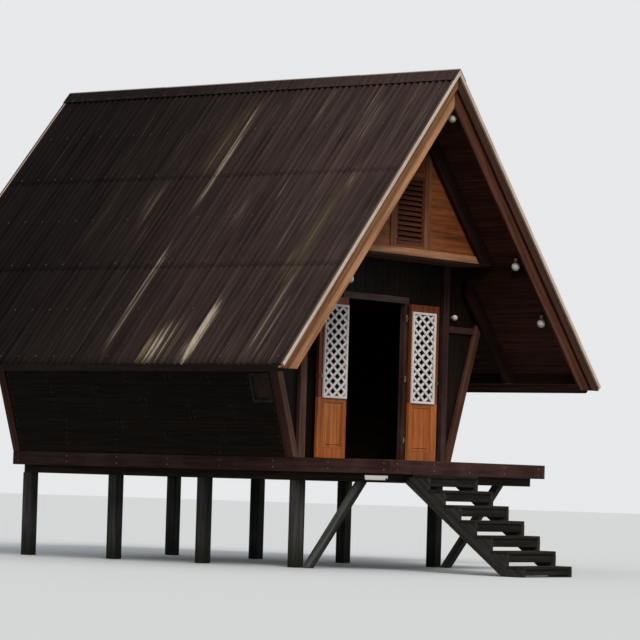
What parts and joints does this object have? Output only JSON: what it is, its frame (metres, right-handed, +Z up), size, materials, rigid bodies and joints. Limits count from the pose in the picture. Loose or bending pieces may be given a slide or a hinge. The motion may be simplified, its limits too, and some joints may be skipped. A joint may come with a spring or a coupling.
{
  "type": "stilt house",
  "caption": "Timber house on stilts with a steep corrugated roof, leaning side walls, a porch with a pair of lattice doors, and an open stair.",
  "frame": {"origin": "bottom centre of the whole house's box, on the ground or water line", "axes": "+Z up, +Y from the entrance front back along the ridge, +X to the right seen from the front"},
  "size_m": [6.8, 8.31, 6.178],
  "materials": {
    "weathered_timber": "weathered, unpainted",
    "floor_timber": "rough sawn, dark",
    "red_timber": "stained red-brown",
    "wall_boards": "dark stain, satin",
    "dark_panel": "dark stain",
    "soffit_boards": "dark red-brown stain",
    "roof_timber": "sawn",
    "window_timber": "weathered",
    "honey_timber": "oiled, honey coloured",
    "shutter_timber": "stained",
    "roof_sheeting": "matt, weathered with lichen streaks",
    "ridge_metal": "matt, weathered",
    "verge_paint": "painted cream, worn",
    "barge_timber": "oiled, light tan",
    "lamp_globe": "gloss white",
    "door_teak": "varnished orange teak",
    "lattice_paint": "painted white",
    "hinge_steel": "brushed"
  },
  "bodies": {
    "house": {"stilts_left": "weathered_timber", "stilts_right": "weathered_timber", "knee_braces": "weathered_timber", "floor_bearers": "floor_timber", "cross_beams": "floor_timber", "floor_joists": "floor_timber", "side_beams": "red_timber", "end_beams": "red_timber", "floor_boards": "floor_timber", "landing_boards": "floor_timber", "stair_stringers": "weathered_timber", "stair_treads": "weathered_timber", "stair_risers": "weathered_timber", "corner_posts": "red_timber", "raking_posts": "red_timber", "wing_rails": "red_timber", "wing_panels": "dark_panel", "front_wall_left": "wall_boards", "front_wall_right": "wall_boards", "front_wall_over": "wall_boards", "door_jambs": "red_timber", "door_header": "red_timber", "porch_ceiling": "soffit_boards", "side_wall_left": "wall_boards", "side_wall_right": "wall_boards", "side_windows": "window_timber", "back_wall": "wall_boards", "gable_beams": "honey_timber", "gable_wall": "honey_timber", "gable_posts": "honey_timber", "gable_shutter": "shutter_timber", "soffit_purlins": "soffit_boards", "rafters": "roof_timber", "roof_battens": "roof_timber", "lining_left": "soffit_boards", "lining_right": "soffit_boards", "roof_sheet_left": "roof_sheeting", "roof_sheet_right": "roof_sheeting", "ridge_cap": "ridge_metal", "eave_boards": "soffit_boards", "verge_trims": "verge_paint", "barge_upper": "red_timber", "barge_lower": "barge_timber", "lamps": "lamp_globe", "hinge_plates": "hinge_steel"},
    "left_leaf": {"left_leaf_frame": "door_teak", "left_leaf_panel": "door_teak", "left_leaf_lattice": "lattice_paint", "left_leaf_hardware": "hinge_steel"},
    "right_leaf": {"right_leaf_frame": "door_teak", "right_leaf_panel": "door_teak", "right_leaf_lattice": "lattice_paint", "right_leaf_hardware": "hinge_steel"}
  },
  "joints": [
    {"name": "left_leaf_hinge", "type": "hinge", "parent": "house", "child": "left_leaf", "pos_m": [-0.63, -1.077, 1.339], "axis": [0, 0, 1], "range_deg": [-1, 179]},
    {"name": "right_leaf_hinge", "type": "hinge", "parent": "house", "child": "right_leaf", "pos_m": [0.63, -1.077, 1.339], "axis": [0, 0, -1], "range_deg": [-1, 179]}
  ]
}
